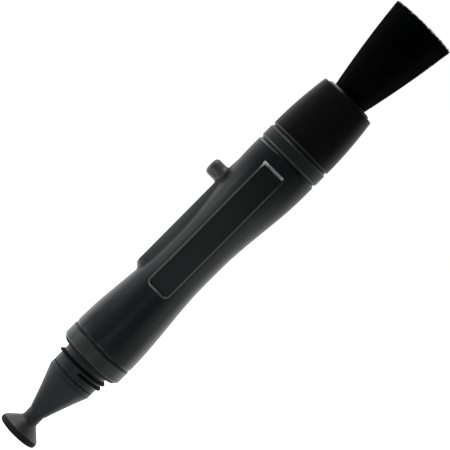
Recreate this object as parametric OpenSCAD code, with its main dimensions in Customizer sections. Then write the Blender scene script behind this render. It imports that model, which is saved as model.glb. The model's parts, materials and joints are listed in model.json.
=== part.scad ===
// Lens cleaning pen: a waisted barrel with a brush that slides out of one end
// and a soft cleaning tip on the nose at the other end.
// The pen lies along X with its brush at +X, its thumb slider on the +Y side
// and its label pocket facing +Z. The origin is on the axis, at the shoulder
// that a cap seats against. The brush is drawn slid out.

/* [Barrel] */
// Radius of the barrel at both ends
barrel_r = 6.48; // [6.2:0.02:8]
// Radius of the straight part of the waist
waist_r = 5.19; // [4.9:0.01:5.8]
// Length of the barrel without its neck
barrel_len = 46.25; // [45:0.05:60]
// Length of the straight part of the waist
waist_len = 3.6; // [0.5:0.1:10]
// Length of the straight land at the brush end of the barrel
front_land = 2; // [1.5:0.1:6]
// Radius of the bore that the brush carriage runs in
bore_r = 3.8; // [3.5:0.05:4.1]
// Radius of the neck that carries the trim ring and the collar
neck_r = 4.75; // [4.4:0.05:5.2]

/* [Spine and slot] */
// Width of the straight domed spine over the slot, at its foot
spine_w = 5.8; // [5:0.1:6.4]
// Width of the flat top of the spine
spine_top = 1.6; // [1:0.1:2.4]
// How full its flanks are, as the power that they fall away with
spine_dome = 1.4; // [1.3:0.1:3]
// Length of the slope at the tip end of the spine
spine_slope = 1.1; // [0.4:0.1:3]
// Wall left in the spine at each end of the slot
slot_end_wall = 0.9; // [0.5:0.1:2]
// Width of the slot that the slider runs in
slot_w = 2; // [1.4:0.1:2.4]

/* [Label pocket] */
// Length of the label pocket
pocket_len = 29.9; // [20:0.1:36]
// Width of the label pocket
pocket_w = 5; // [3:0.1:5.4]
// Depth of the pocket's flat floor below the waist
pocket_depth = 0.85; // [0.4:0.05:0.95]
// Distance from the pocket to the brush end of the barrel
pocket_inset = 2.28; // [1:0.01:6]
// Corner radius at the tip end of the pocket
pocket_corner = 1.1; // [0.3:0.1:1.5]
// Corner radius at the brush end of the pocket
pocket_front_corner = 0.4; // [0.1:0.1:1.2]
// Length of the sloping wall at the brush end of the pocket
pocket_slope = 0.65; // [0.1:0.05:2]

/* [Brush end trim] */
// Length of the trim ring between barrel and collar
band_len = 2.95; // [2:0.05:6]
// Length of the chamfers that meet in the two grooves
groove_edge = 0.5; // [0.2:0.05:0.8]
// Depth of those grooves
groove_depth = 0.43; // [0.1:0.01:0.8]
// Length of the collar
collar_len = 12.05; // [8:0.05:20]
// Radius of the collar at the mouth
collar_mouth_r = 5.6; // [5.2:0.05:6.2]
// How far the neck stands out of the collar as a lip
lip_len = 0.45; // [0.1:0.05:1.5]
// Chamfer on the collar's front edge and on the lip
lip_edge = 0.2; // [0.05:0.05:0.4]

/* [Tip end trim] */
// Length of the trim ring that a cap seats against
tip_ring_len = 3.6; // [2:0.1:6]
// Length of the chamfer on its cap side
tip_ring_edge = 0.97; // [0.3:0.01:1.5]
// Depth of that chamfer
tip_ring_drop = 0.82; // [0.2:0.01:1.2]
// Length of the chamfers that meet in the groove between ring and barrel
joint_edge = 0.45; // [0.2:0.05:0.8]
// Depth of that groove
joint_depth = 0.22; // [0.05:0.01:0.4]

/* [Nose] */
// Radius of the spigot that a cap screws on to
spigot_r = 4.58; // [4:0.01:5]
// Length of the spigot
spigot_len = 3.78; // [3:0.01:8]
// Radius of the plug that joins the nose to the barrel
plug_r = 4.3; // [3.7:0.05:4.5]
// Length of that plug
plug_len = 13; // [6:0.5:14]
// Radius of the spigot's bore, which takes the nose cone's stem
nose_bore_r = 3; // [2.2:0.1:3.4]
// Length of the nose cone's stem inside the spigot
cone_stem_len = 5.8; // [3:0.1:9]
// Length of the straight rim at the foot of the nose cone
cone_rim = 1.13; // [0.3:0.01:2]
// Length of the tapered part of the nose cone
cone_len = 7.9; // [4:0.01:12]
// Radius of the nose cone's small end
cone_end_r = 1.69; // [1.6:0.01:2.4]
// Chamfer at the seam between nose cone and spigot
seam_edge = 0.1; // [0.05:0.01:0.3]

/* [Cleaning tip] */
// Radius of the flexible stem
stem_r = 1.6; // [1.3:0.05:1.65]
// Length of the stem in sight
stem_len = 2.07; // [0.5:0.01:5]
// Radius of the shank moulded below the stem
shank_r = 1.2; // [0.8:0.05:1.25]
// Length of the shank inside the nose cone
shank_len = 7; // [4:0.1:8]
// Length of the bell that spreads out behind the pad
bell_len = 2.06; // [1:0.01:4]
// Radius of the bell's rim
bell_r = 3.8; // [2.5:0.05:4]
// Thickness of the bell's rim
bell_rim = 0.12; // [0.05:0.01:0.5]
// Radius of the cleaning pad
pad_r = 4; // [3:0.05:4.4]
// Thickness of the cleaning pad
pad_t = 1.1; // [0.9:0.05:2]
// Rounding of the pad's rim
pad_round = 0.4; // [0.1:0.05:0.44]

/* [Slider] */
// Distance from the knob to the brush end of the barrel
knob_inset = 8.25; // [6:0.05:10]
// Diameter of the round knob
knob_d = 3.3; // [3.1:0.1:5]
// Height of the knob above the spine
knob_h = 2.67; // [1.5:0.01:4]
// Rounding of the knob's top edge
knob_round = 0.8; // [0.2:0.05:1.2]
// How far the foot flares out around the knob
foot_flare = 0.15; // [0.05:0.05:0.4]
// Thickness of the foot's edge
foot_edge = 0.1; // [0.05:0.05:0.4]
// Length of the tongue that runs in the slot
tongue_len = 2.4; // [1.5:0.1:2.8]
// Depth that the tongue is sunk into the carriage
tongue_depth = 1.6; // [0.6:0.1:2.5]
// Carriage behind the middle of the knob
carriage_back = 3.75; // [2.5:0.05:6]

/* [Brush] */
// Length of the ferrule that binds the hair
ferrule_len = 15.3; // [10:0.1:18]
// Wall of the ferrule
ferrule_wall = 0.3; // [0.15:0.05:0.5]
// How far the ferrule sits below the lip of the mouth
ferrule_inset = 0.55; // [0.1:0.05:2]
// Length of the carriage's nose inside the ferrule
carriage_nose = 4.5; // [2:0.1:7]
// Thickness of the slice of root resin that the hair stands in
root_slice = 0.8; // [0.4:0.1:2]
// Length of the hair in front of the mouth, at the rim of the tuft
hair_out = 18; // [12:0.1:18.8]
// How far the middle of the tuft stands further out than its rim
hair_dome = 0.1; // [0:0.05:1.5]
// Radius of the tuft at its tip
hair_tip_r = 6.4; // [4.5:0.05:6.6]
// Radius of the tuft half way out
hair_mid_r = 5.1; // [4:0.05:6]
// How far the tip of the tuft leans away from the knob
hair_lean = 0.4; // [0:0.05:1]
// Unevenness of the hair's length
hair_ragged = 0.2; // [0:0.05:0.5]
// Rings of strands in the tuft
hair_rings = 10; // [10:1:11]

/* [Clearances] */
// Gap round what slides in the bore and the slot
slide_gap = 0.1; // [0.05:0.01:0.15]
// Gap round what is pressed or bonded together
fit_gap = 0.03; // [0.01:0.01:0.05]
// Gap between the knob's foot and the spine
knob_gap = 0.1; // [0.05:0.01:0.3]
// Spare travel after the hair has drawn level with the mouth
travel_spare = 0.9; // [0:0.05:1.2]

/* [Hidden] */
$fn = 96;

// Steps of each drawn-in curve and of each rounded corner
curve_steps = 16;
corner_steps = 6;
// Overshoot of cutting tools past the faces they cut
over = 1;

// Stations along the axis, from the cap shoulder to the mouth
barrel_x0 = tip_ring_len;
barrel_x1 = barrel_x0 + barrel_len;
band_x1 = barrel_x1 + band_len;
collar_x1 = band_x1 + collar_len;
mouth_x = collar_x1 + lip_len;

// Stations along the axis, from the cap shoulder to the pad
spigot_x = -spigot_len;
cone_x = spigot_x - cone_rim - cone_len;
bell_x = cone_x - stem_len;
pad_x = bell_x - bell_len - bell_rim;

// The slider's travel takes the whole tuft into the mouth
travel = hair_out + hair_dome + travel_spare;
knob_x1 = barrel_x1 - knob_inset;
knob_mid = knob_x1 - knob_d / 2;
knob_y0 = barrel_r + knob_gap;
knob_y1 = knob_y0 + knob_h;
slot_x0 = knob_mid - travel - tongue_len / 2 - slide_gap;
slot_x1 = knob_mid + tongue_len / 2 + slide_gap;

// What runs in the bore
slide_r = bore_r - slide_gap;
hair_root_r = slide_r - ferrule_wall - fit_gap;
ferrule_x1 = mouth_x - ferrule_inset;
ferrule_x0 = ferrule_x1 - ferrule_len;
root_x0 = ferrule_x0 + carriage_nose;
root_x1 = ferrule_x1 - root_slice;
tongue_y = slide_r - tongue_depth;

// Waist: both ends draw in along half a cosine wave
draw_in_len = (barrel_len - joint_edge - front_land - waist_len) / 2;
function ease(u) = (1 - cos(180 * u)) / 2;
function drawn_r(u) = barrel_r - (barrel_r - waist_r) * ease(u);
rear_curve = [
    for (i = [0 : curve_steps])
        let (u = i / curve_steps) [drawn_r(u), barrel_x0 + joint_edge + u * draw_in_len]
];
front_curve = [
    for (i = [curve_steps : -1 : 0])
        let (u = i / curve_steps) [drawn_r(u), barrel_x1 - front_land - u * draw_in_len]
];

// Points of an arc about a centre, from one angle to another
function arc(centre, r, from, to) = [
    for (i = [0 : corner_steps])
        let (a = from + (to - from) * i / corner_steps) centre + r * [cos(a), sin(a)]
];

// Section of the spine: a dome over the slot that runs out on the waist
spine_half = spine_w / 2;
spine_foot = sqrt(waist_r * waist_r - spine_half * spine_half);
function flank(u) = [
    barrel_r - (barrel_r - spine_foot) * pow(u, spine_dome),
    spine_top / 2 + u * (spine_half - spine_top / 2)
];
dome = [
    for (side = [-1, 1], i = [0 : curve_steps])
        let (p = flank((side < 0 ? curve_steps - i : i) / curve_steps)) [p[0], side * p[1]]
];

// A solid of revolution about the pen's axis, from [radius, x] points
module turned(outline) {
    rotate([0, 90, 0]) rotate_extrude() polygon(outline);
}

// A round hole along the axis, run past the ends it leaves through
module bored(r, x0, x1) {
    translate([x0, 0, 0]) rotate([0, 90, 0]) cylinder(r = r, h = x1 - x0);
}

// An outline in X and Y, drawn out to a width along Z on both sides of the axis
module across(width) {
    linear_extrude(width, center = true) children();
}

// The section of the spine, drawn out along the pen between two stations
module spine_bar(x0, x1) {
    translate([x0, 0, 0]) rotate([90, 0, 90]) linear_extrude(x1 - x0)
        polygon(concat([[0, -spine_half]], dome, [[0, spine_half]]));
}

// Straight spine of the barrel, as high as the barrel's ends
module spine() {
    intersection() {
        across(spine_w) polygon([
            [slot_x0 - slot_end_wall - spine_slope, 0],
            [slot_x0 - slot_end_wall - spine_slope, waist_r],
            [slot_x0 - slot_end_wall, barrel_r],
            [slot_x1 + slot_end_wall, barrel_r],
            [slot_x1 + slot_end_wall, 0]
        ]);
        spine_bar(barrel_x0, barrel_x1);
    }
}

// Cutter of the label pocket: its plan, and its side with the sloping wall
module label_pocket() {
    x1 = barrel_x1 - pocket_inset;
    x0 = x1 - pocket_len;
    half = pocket_w / 2;
    floor_z = waist_r - pocket_depth;
    rear = x0 + pocket_corner;
    front = x1 - pocket_front_corner;
    intersection() {
        linear_extrude(barrel_r + over) polygon(concat(
            arc([rear, pocket_corner - half], pocket_corner, 180, 270),
            arc([front, pocket_front_corner - half], pocket_front_corner, 270, 360),
            arc([front, half - pocket_front_corner], pocket_front_corner, 0, 90),
            arc([rear, half - pocket_corner], pocket_corner, 90, 180)
        ));
        rotate([90, 0, 0]) across(pocket_w + over) polygon([
            [x0 - over, floor_z],
            [x1 - pocket_slope, floor_z],
            [x1, barrel_r],
            [x1, barrel_r + over],
            [x0 - over, barrel_r + over]
        ]);
    }
}

module barrel() {
    color("#1b1c1e") difference() {
        union() {
            turned(concat(
                [[0, barrel_x0], [barrel_r - joint_depth, barrel_x0]],
                rear_curve,
                front_curve,
                [[barrel_r, barrel_x1 - groove_edge]],
                [[barrel_r - groove_depth, barrel_x1], [neck_r, barrel_x1]],
                [[neck_r, mouth_x - lip_edge], [neck_r - lip_edge, mouth_x], [0, mouth_x]]
            ));
            spine();
        }
        bored(bore_r, barrel_x0 - over, mouth_x + over);
        bored(plug_r + fit_gap, barrel_x0 - over, plug_len);
        translate([slot_x0, 0, -slot_w / 2])
            cube([slot_x1 - slot_x0, barrel_r + over, slot_w]);
        label_pocket();
    }
}

module tip_trim_ring() {
    color("#3c4b4a") turned([
        [plug_r + fit_gap, 0],
        [barrel_r - tip_ring_drop, 0],
        [barrel_r, tip_ring_edge],
        [barrel_r, tip_ring_len - joint_edge],
        [barrel_r - joint_depth, tip_ring_len],
        [plug_r + fit_gap, tip_ring_len]
    ]);
}

module brush_trim_ring() {
    color("#2f3d3b") turned([
        [neck_r + fit_gap, barrel_x1],
        [barrel_r - groove_depth, barrel_x1],
        [barrel_r, barrel_x1 + groove_edge],
        [barrel_r, band_x1 - groove_edge],
        [barrel_r - groove_depth, band_x1],
        [neck_r + fit_gap, band_x1]
    ]);
}

// Collar whose side is one long arc, tangent to the trim ring's side
module brush_collar() {
    x0 = band_x1 + groove_edge;
    run = collar_x1 - lip_edge - x0;
    drop = barrel_r - collar_mouth_r;
    arc_r = (run * run + drop * drop) / (2 * drop);
    side = [
        for (i = [0 : curve_steps])
            let (x = run * i / curve_steps)
                [barrel_r - arc_r + sqrt(arc_r * arc_r - x * x), x0 + x]
    ];
    color("#121213") turned(concat(
        [[neck_r + fit_gap, band_x1], [barrel_r - groove_depth, band_x1]],
        side,
        [[collar_mouth_r - lip_edge, collar_x1], [neck_r + fit_gap, collar_x1]]
    ));
}

module nose_spigot() {
    color("#2d2f32") turned([
        [nose_bore_r + fit_gap, spigot_x],
        [spigot_r - seam_edge, spigot_x],
        [spigot_r, spigot_x + seam_edge],
        [spigot_r, 0],
        [plug_r, 0],
        [plug_r, plug_len],
        [nose_bore_r + fit_gap, plug_len]
    ]);
}

module nose_cone() {
    rim_x = spigot_x - cone_rim;
    shank_end = cone_x + shank_len;
    color("#32343a") turned([
        [shank_r + fit_gap, cone_x],
        [cone_end_r, cone_x],
        [spigot_r, rim_x],
        [spigot_r, spigot_x - seam_edge],
        [spigot_r - seam_edge, spigot_x],
        [nose_bore_r, spigot_x],
        [nose_bore_r, spigot_x + cone_stem_len],
        [0, spigot_x + cone_stem_len],
        [0, shank_end],
        [shank_r + fit_gap, shank_end]
    ]);
}

module flexible_tip() {
    color("#4a4b4e") turned([
        [0, pad_x],
        [bell_r, pad_x],
        [bell_r, pad_x + bell_rim],
        [stem_r, bell_x],
        [stem_r, cone_x],
        [shank_r, cone_x],
        [shank_r, cone_x + shank_len],
        [0, cone_x + shank_len]
    ]);
}

module cleaning_pad() {
    rim = pad_r - pad_round;
    color("#1a1a1a") turned(concat(
        [[0, pad_x - pad_t]],
        arc([rim, pad_x - pad_t + pad_round], pad_round, -90, 0),
        arc([rim, pad_x - pad_round], pad_round, 0, 90),
        [[0, pad_x]]
    ));
}

// Round knob with a flared foot over the spine, and a tongue down to the carriage
module slider_knob() {
    knob_r = knob_d / 2;
    foot_r = knob_r + foot_flare;
    color("#262626") {
        translate([knob_mid, 0, 0]) rotate([-90, 0, 0]) rotate_extrude() polygon(concat(
            [[0, knob_y0], [foot_r, knob_y0], [foot_r, knob_y0 + foot_edge]],
            [[knob_r, knob_y0 + foot_edge + foot_flare]],
            arc([knob_r - knob_round, knob_y1 - knob_round], knob_round, 0, 90),
            [[0, knob_y1]]
        ));
        translate([knob_mid - tongue_len / 2, tongue_y, slide_gap - slot_w / 2])
            cube([tongue_len, knob_y0 + foot_edge - tongue_y, slot_w - 2 * slide_gap]);
    }
}

module brush_carriage() {
    color("#3a3a3c") difference() {
        turned([
            [0, knob_mid - carriage_back],
            [slide_r, knob_mid - carriage_back],
            [slide_r, ferrule_x0],
            [hair_root_r, ferrule_x0],
            [hair_root_r, root_x0],
            [0, root_x0]
        ]);
        translate([knob_mid - tongue_len / 2 - fit_gap, tongue_y, slide_gap - slot_w / 2 - fit_gap])
            cube([tongue_len + 2 * fit_gap, slide_r, slot_w - 2 * slide_gap + 2 * fit_gap]);
    }
}

module brush_ferrule() {
    color("#8d9093") turned([
        [slide_r - ferrule_wall, ferrule_x0],
        [slide_r, ferrule_x0],
        [slide_r, ferrule_x1],
        [slide_r - ferrule_wall, ferrule_x1]
    ]);
}

module hair_root() {
    color("#55504a") bored(hair_root_r, root_x0, root_x1);
}

// The tuft stands on a disc of rings that grow by six spots each. Between
// two rings every cell with a side on the outer ring grows one strand of
// three sides, and the cells between them stay bare.
function ring_start(k) = k == 0 ? 0 : 1 + 3 * k * (k - 1);
function spot(k, j) = ring_start(k) + (k == 0 ? 0 : j % (6 * k));
function flat_spot(k, j) = k == 0 ? [0, 0] : k / hair_rings * [cos(60 * j / k), sin(60 * j / k)];

strand_cells = [
    for (k = [1 : hair_rings], q = [0 : 5], i = [0 : k - 1])
        [[k, q * k + i], [k, q * k + i + 1], [k - 1, q * (k - 1) + i]]
];
bare_cells = [
    for (k = [2 : hair_rings], q = [0 : 5], i = [0 : k - 2])
        [[k, q * k + i + 1], [k - 1, q * (k - 1) + i + 1], [k - 1, q * (k - 1) + i]]
];

// Share of its cell that a strand fills half way out and at its tip
strand_mid_fill = 0.8;
strand_tip_fill = 0.45;

// The three points of a strand, in a disc of radius r at station x that leans away
function strand_ring(cell, fill, r, x, lean) =
    let (p = [for (c = cell) flat_spot(c[0], c[1])], m = (p[0] + p[1] + p[2]) / 3)
        [for (c = p) let (f = r * (m + fill * (c - m))) [x, f[0] - lean, f[1]]];

function strand_tip_x(cell, n) =
    let (depth = cell[2][0] / hair_rings)
        mouth_x + hair_out + hair_dome * (1 - depth * depth) - hair_ragged * abs(sin(137.5 * n));

// Triangles of the wall between two closed rows of spots
function wall(low, high) = [
    for (i = [0 : len(low) - 1])
        let (j = (i + 1) % len(low))
            each [[low[i], high[j], low[j]], [low[i], high[i], high[j]]]
];

module brush_tuft() {
    rim = 6 * hair_rings;
    back_start = ring_start(hair_rings) + rim;
    strand_start = back_start + rim;
    mid_x = (ferrule_x1 + mouth_x + hair_out) / 2;
    disc = [
        for (k = [0 : hair_rings], j = [0 : max(6 * k - 1, 0)])
            let (f = hair_root_r * flat_spot(k, j)) [ferrule_x1, f[0], f[1]]
    ];
    back = [
        for (j = [0 : rim - 1])
            let (f = hair_root_r * flat_spot(hair_rings, j)) [root_x1, f[0], f[1]]
    ];
    strands = [
        for (n = [0 : len(strand_cells) - 1])
            let (cell = strand_cells[n])
                each concat(
                    strand_ring(cell, strand_mid_fill, hair_mid_r, mid_x, hair_lean / 2),
                    strand_ring(cell, strand_tip_fill, hair_tip_r, strand_tip_x(cell, n), hair_lean)
                )
    ];
    strand_faces = [
        for (n = [0 : len(strand_cells) - 1])
            let (
                foot = [for (c = strand_cells[n]) spot(c[0], c[1])],
                s = strand_start + 6 * n,
                mid = [s, s + 1, s + 2],
                tip = [s + 3, s + 4, s + 5]
            )
                each concat(wall(foot, mid), wall(mid, tip), [[tip[0], tip[2], tip[1]]])
    ];
    bare_faces = [
        for (c = bare_cells)
            [spot(c[0][0], c[0][1]), spot(c[2][0], c[2][1]), spot(c[1][0], c[1][1])]
    ];
    front_rim = [for (j = [0 : rim - 1]) spot(hair_rings, j)];
    back_rim = [for (j = [0 : rim - 1]) back_start + j];
    back_faces = [for (j = [1 : rim - 2]) [back_rim[0], back_rim[j], back_rim[j + 1]]];
    color("#0c0c0d") polyhedron(
        points = concat(disc, back, strands),
        faces = concat(strand_faces, bare_faces, wall(back_rim, front_rim), back_faces)
    );
}

barrel();
tip_trim_ring();
brush_trim_ring();
brush_collar();
nose_spigot();
nose_cone();
flexible_tip();
cleaning_pad();
slider_knob();
brush_carriage();
brush_ferrule();
hair_root();
brush_tuft();
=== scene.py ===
"""Looks of a lens cleaning pen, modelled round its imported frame.

Sizes are in metres, in the frame's own axes: +X runs along the pen to the
brush, +Y to the thumb slider and +Z out of the label pocket.
"""

import json
import logging
import math
import random
from dataclasses import dataclass, field
from enum import Enum
from typing import Any, Iterable, Optional, Sequence, Union

import bmesh
import bpy
from mathutils import Matrix, Vector

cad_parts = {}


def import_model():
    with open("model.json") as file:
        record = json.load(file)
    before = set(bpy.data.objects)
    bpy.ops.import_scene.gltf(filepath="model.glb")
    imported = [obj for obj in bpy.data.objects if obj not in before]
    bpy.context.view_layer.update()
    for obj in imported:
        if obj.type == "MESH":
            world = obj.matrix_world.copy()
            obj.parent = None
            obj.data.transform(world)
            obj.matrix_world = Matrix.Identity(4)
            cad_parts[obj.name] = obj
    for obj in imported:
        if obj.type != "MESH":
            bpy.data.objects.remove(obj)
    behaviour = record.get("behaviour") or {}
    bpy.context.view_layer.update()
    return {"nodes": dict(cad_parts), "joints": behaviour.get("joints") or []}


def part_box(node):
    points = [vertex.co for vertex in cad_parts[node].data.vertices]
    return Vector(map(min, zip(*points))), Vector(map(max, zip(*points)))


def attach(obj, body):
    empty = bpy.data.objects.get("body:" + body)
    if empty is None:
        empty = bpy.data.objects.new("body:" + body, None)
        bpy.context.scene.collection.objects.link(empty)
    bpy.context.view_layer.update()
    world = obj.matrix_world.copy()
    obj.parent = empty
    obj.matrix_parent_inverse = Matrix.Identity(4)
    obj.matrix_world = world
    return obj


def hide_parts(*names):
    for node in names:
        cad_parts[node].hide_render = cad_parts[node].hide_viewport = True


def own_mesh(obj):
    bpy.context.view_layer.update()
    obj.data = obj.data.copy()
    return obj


LOG = logging.getLogger("lens_pen")
MM = 0.001
AXIS = Vector((1.0, 0.0, 0.0))
CENTRE = Vector((0.0, 0.0, 0.0))
TURN_STEPS = 144
SHARP_ANGLE = math.radians(38.0)
MERGE = 1e-7
# Point layer of painted highlight: a share by which a finish's colour is lightened where light
# catches it.
PAINTED_HIGHLIGHT = "painted_highlight"
# Point layer of painted shade: a share by which a finish's colour is darkened where shade falls.
PAINTED_SHADE = "painted_shade"

Colour = tuple[float, float, float, float]
Limits = tuple[float, float]
Stretch = tuple[float, float, float]
Shape = bmesh.types.BMesh


class Body(Enum):
    """The bodies of the pen that a piece can ride on."""

    PEN = "pen"
    SLIDER = "brush_slider"


def grey(level: float, warmth: float = 0.0) -> Colour:
    """Returns a near neutral colour, a little warm above zero and cool below."""
    return (level * (1.0 + warmth), level, level * (1.0 - warmth), 1.0)


def toned(colour: Colour, gain: float, lift: float = 0.0) -> Colour:
    """Returns a colour that is made lighter or darker by a gain and a lift."""
    red, green, blue = (min(1.0, part * gain + lift) for part in colour[:3])
    return (red, green, blue, 1.0)


def mm(x: float, y: float, z: float) -> Vector:
    """Returns a place that is given in millimetres."""
    return Vector((x, y, z)) * MM


def smooth(share: float) -> float:
    """Returns an eased 0 to 1 for a share that may run past both ends."""
    held = min(max(share, 0.0), 1.0)
    return held * held * (3.0 - 2.0 * held)


def bend(reach: float, soft: float) -> float:
    """Rounds off the corner of a ramp that leaves zero at zero.

    Args:
        reach: How far past the corner.
        soft: The distance on both sides over which it is rounded off.

    Returns:
        The height of the ramp.
    """
    if abs(reach) >= soft:
        return max(reach, 0.0)
    return (reach + soft) ** 2 / (4.0 * soft)


def graded(start: float, *runs: tuple[float, int]) -> list[float]:
    """Lays out stations with a closer spacing where a shape needs it.

    Args:
        start: The first station.
        runs: The end of each run and the number of equal steps to it.

    Returns:
        Every station, in order.
    """
    stations = [start]
    for end, steps in runs:
        begin = stations[-1]
        stations += [begin + (end - begin) * step / steps for step in range(1, steps + 1)]
    return stations


def eased(shape: Shape, edges: Sequence[bmesh.types.BMEdge], reach: float) -> None:
    """Rounds some edges of a shape, as far as a reach to both sides."""
    bmesh.ops.bevel(
        shape, geom=edges, offset=reach, affect="EDGES", segments=2, profile=0.5, material=-1
    )


def linked(name: str, data: bpy.types.ID) -> bpy.types.Object:
    """Puts a mesh, a curve, a lamp or a lens into the scene.

    Args:
        name: The name of its object.
        data: What the object shows.

    Returns:
        The object, at the origin.
    """
    made = bpy.data.objects.new(name, data)
    bpy.context.scene.collection.objects.link(made)
    return made


@dataclass(frozen=True)
class Span:
    """Where a node of the frame starts and ends along the pen, and its half width."""

    start: float
    end: float
    radius: float

    @classmethod
    def of(cls, node: str) -> "Span":
        """Measures one node of the frame."""
        low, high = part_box(node)
        return cls(low.x, high.x, high.z)


def spanned(node: str) -> Any:
    """Returns a field that measures a node of the frame when its class is made."""
    return field(default_factory=lambda: Span.of(node))


class Term:
    """A shader socket that takes part in Python arithmetic."""

    def __init__(self, bench: "Bench", socket: Optional[bpy.types.NodeSocket]) -> None:
        """Wraps one output socket of a bench's node tree."""
        self.bench = bench
        self.socket = socket

    def _maths(self, operation: str, left: "Value", right: "Value") -> "Term":
        """Adds a Math node on two values."""
        return self.bench.node("ShaderNodeMath", {"operation": operation}, {0: left, 1: right})

    def __add__(self, other: "Value") -> "Term":
        """Adds another value."""
        return self._maths("ADD", self, other)

    def __radd__(self, other: "Value") -> "Term":
        """Is added to another value."""
        return self._maths("ADD", other, self)

    def __sub__(self, other: "Value") -> "Term":
        """Takes another value away."""
        return self._maths("SUBTRACT", self, other)

    def __rsub__(self, other: "Value") -> "Term":
        """Is taken away from another value."""
        return self._maths("SUBTRACT", other, self)

    def __mul__(self, other: "Value") -> "Term":
        """Multiplies by another value."""
        return self._maths("MULTIPLY", self, other)

    def __rmul__(self, other: "Value") -> "Term":
        """Is multiplied by another value."""
        return self._maths("MULTIPLY", other, self)

    def size(self) -> "Term":
        """Returns this value without its sign."""
        return self._maths("ABSOLUTE", self, 0.0)

    def step(self, low: float, high: float) -> "Term":
        """Returns an eased 0 to 1 as this value goes from low to high."""
        return self.bench.node(
            "ShaderNodeMapRange",
            {"interpolation_type": "SMOOTHSTEP"},
            {"Value": self, "From Min": low, "From Max": high},
        )


Value = Union[Term, float]


class Bench:
    """The node tree of one material, or of the world, while it is being made."""

    def __init__(self, tree: bpy.types.NodeTree) -> None:
        """Clears a node tree and starts on it."""
        self.tree = tree
        self.tree.nodes.clear()

    @classmethod
    def material(cls, name: str) -> tuple["Bench", bpy.types.Material]:
        """Starts a new material.

        Args:
            name: The material's name.

        Returns:
            The bench and the material that it belongs to.
        """
        made = bpy.data.materials.new(name)
        made.use_nodes = True
        return cls(made.node_tree), made

    def node(
        self,
        kind: str,
        settings: Optional[dict[str, Any]] = None,
        inputs: Optional[dict[Union[str, int], Any]] = None,
        out: Union[str, int] = 0,
    ) -> Term:
        """Adds one node.

        Args:
            kind: The node's type.
            settings: Its properties, set first.
            inputs: The values or links of its sockets, by name or number.
            out: The output that the caller wants.

        Returns:
            That output as a term.
        """
        made = self.tree.nodes.new(kind)
        for key, value in (settings or {}).items():
            setattr(made, key, value)
        for key, value in (inputs or {}).items():
            if isinstance(value, Term):
                self.tree.links.new(value.socket, made.inputs[key])
            else:
                made.inputs[key].default_value = value
        return Term(self, made.outputs[out] if len(made.outputs) else None)

    def place(self, scale: Stretch = (1.0, 1.0, 1.0)) -> Term:
        """Returns Object coordinates, stretched by a scale on each axis."""
        coordinates = self.node("ShaderNodeTexCoord", out="Object")
        return self.node("ShaderNodeMapping", {}, {"Vector": coordinates, "Scale": scale})

    def along(self, axis: str) -> Term:
        """Returns the place along one axis."""
        return self.node("ShaderNodeSeparateXYZ", {}, {0: self.place()}, out=axis)

    def painted(self, name: str) -> Term:
        """Returns a value that a shape carries at its points."""
        return self.node("ShaderNodeAttribute", {"attribute_name": name}, out="Fac")

    def noise(self, size: float, detail: float, stretch: Stretch = (1.0, 1.0, 1.0)) -> Term:
        """Returns a cloudy noise.

        Args:
            size: The size of its grains.
            detail: How many finer layers it has.
            stretch: A scale on each axis, under 1 to draw the grains out.

        Returns:
            The noise, from 0 to 1.
        """
        return self.node(
            "ShaderNodeTexNoise",
            {"normalize": True},
            {"Vector": self.place(stretch), "Scale": 1.0 / size, "Detail": detail},
        )

    def specks(self, size: float, share: float) -> Term:
        """Returns small round specks, each at most a share of its cell wide."""
        cells = self.node(
            "ShaderNodeTexVoronoi", {"feature": "F1"}, {"Vector": self.place(), "Scale": 1.0 / size}
        )
        return 1.0 - cells.step(share * 0.5, share)

    def mix(self, share: Value, first: Union[Term, Colour], second: Union[Term, Colour]) -> Term:
        """Returns a colour between two colours, from the Mix node's colour sockets."""
        return self.node(
            "ShaderNodeMix", {"data_type": "RGBA"}, {0: share, 6: first, 7: second}, out=2
        )

    def bump(self, height: Term, distance: float, strength: float) -> Term:
        """Returns a normal that is tilted by a height."""
        return self.node(
            "ShaderNodeBump", {}, {"Height": height, "Distance": distance, "Strength": strength}
        )

    def surface(self, sockets: dict[str, Any]) -> None:
        """Ends a material with a principled shader on these sockets."""
        shader = self.node("ShaderNodeBsdfPrincipled", {}, sockets)
        self.node("ShaderNodeOutputMaterial", {}, {"Surface": shader})


@dataclass(frozen=True)
class Finish:
    """What every finish has.

    In its kinds, a noise is named for what it looks like and set by the size of its grains.
    Drawn says how the grains are stretched, limits are the levels between which a mark
    fades in, and rough is how far it changes the roughness.
    """

    name: str
    slot: str
    colour: Colour
    roughness: float

    def material(self) -> bpy.types.Material:
        """Mixes the finish the first time that it is asked for.

        Returns:
            The finish's one material.
        """
        made = bpy.data.materials.get(self.name)
        if made is None:
            bench, made = Bench.material(self.name)
            bench.surface(self._sockets(bench))
        return made

    def _sockets(self, bench: Bench) -> dict[str, Any]:
        """Returns what feeds the sockets of the shader."""
        raise NotImplementedError


@dataclass(frozen=True)
class MarkedFinish(Finish):
    """A finish that is lightened with painted highlights and darkened with painted shade where a
    shape says so.
    """

    # The colour of a painted highlight, the colour of painted shade, and the roughness under
    # painted shade.
    painted_highlight: Colour = grey(0.3)
    shade_colour: Colour = grey(0.002)
    shade_roughness: float = 0.9

    def _marked(self, bench: Bench, colour: Term, rough: Term) -> tuple[Term, Term]:
        """Adds the painted highlights and the painted shade.

        Args:
            bench: The material in the making.
            colour: The clean colour.
            rough: The clean roughness.

        Returns:
            The colour and the roughness with the painted highlights and shade on them.
        """
        painted_shade = bench.painted(PAINTED_SHADE)
        highlighted = bench.mix(bench.painted(PAINTED_HIGHLIGHT), colour, self.painted_highlight)
        marked = bench.mix(painted_shade, highlighted, self.shade_colour)
        return marked, rough + (self.shade_roughness - rough) * painted_shade


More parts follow.
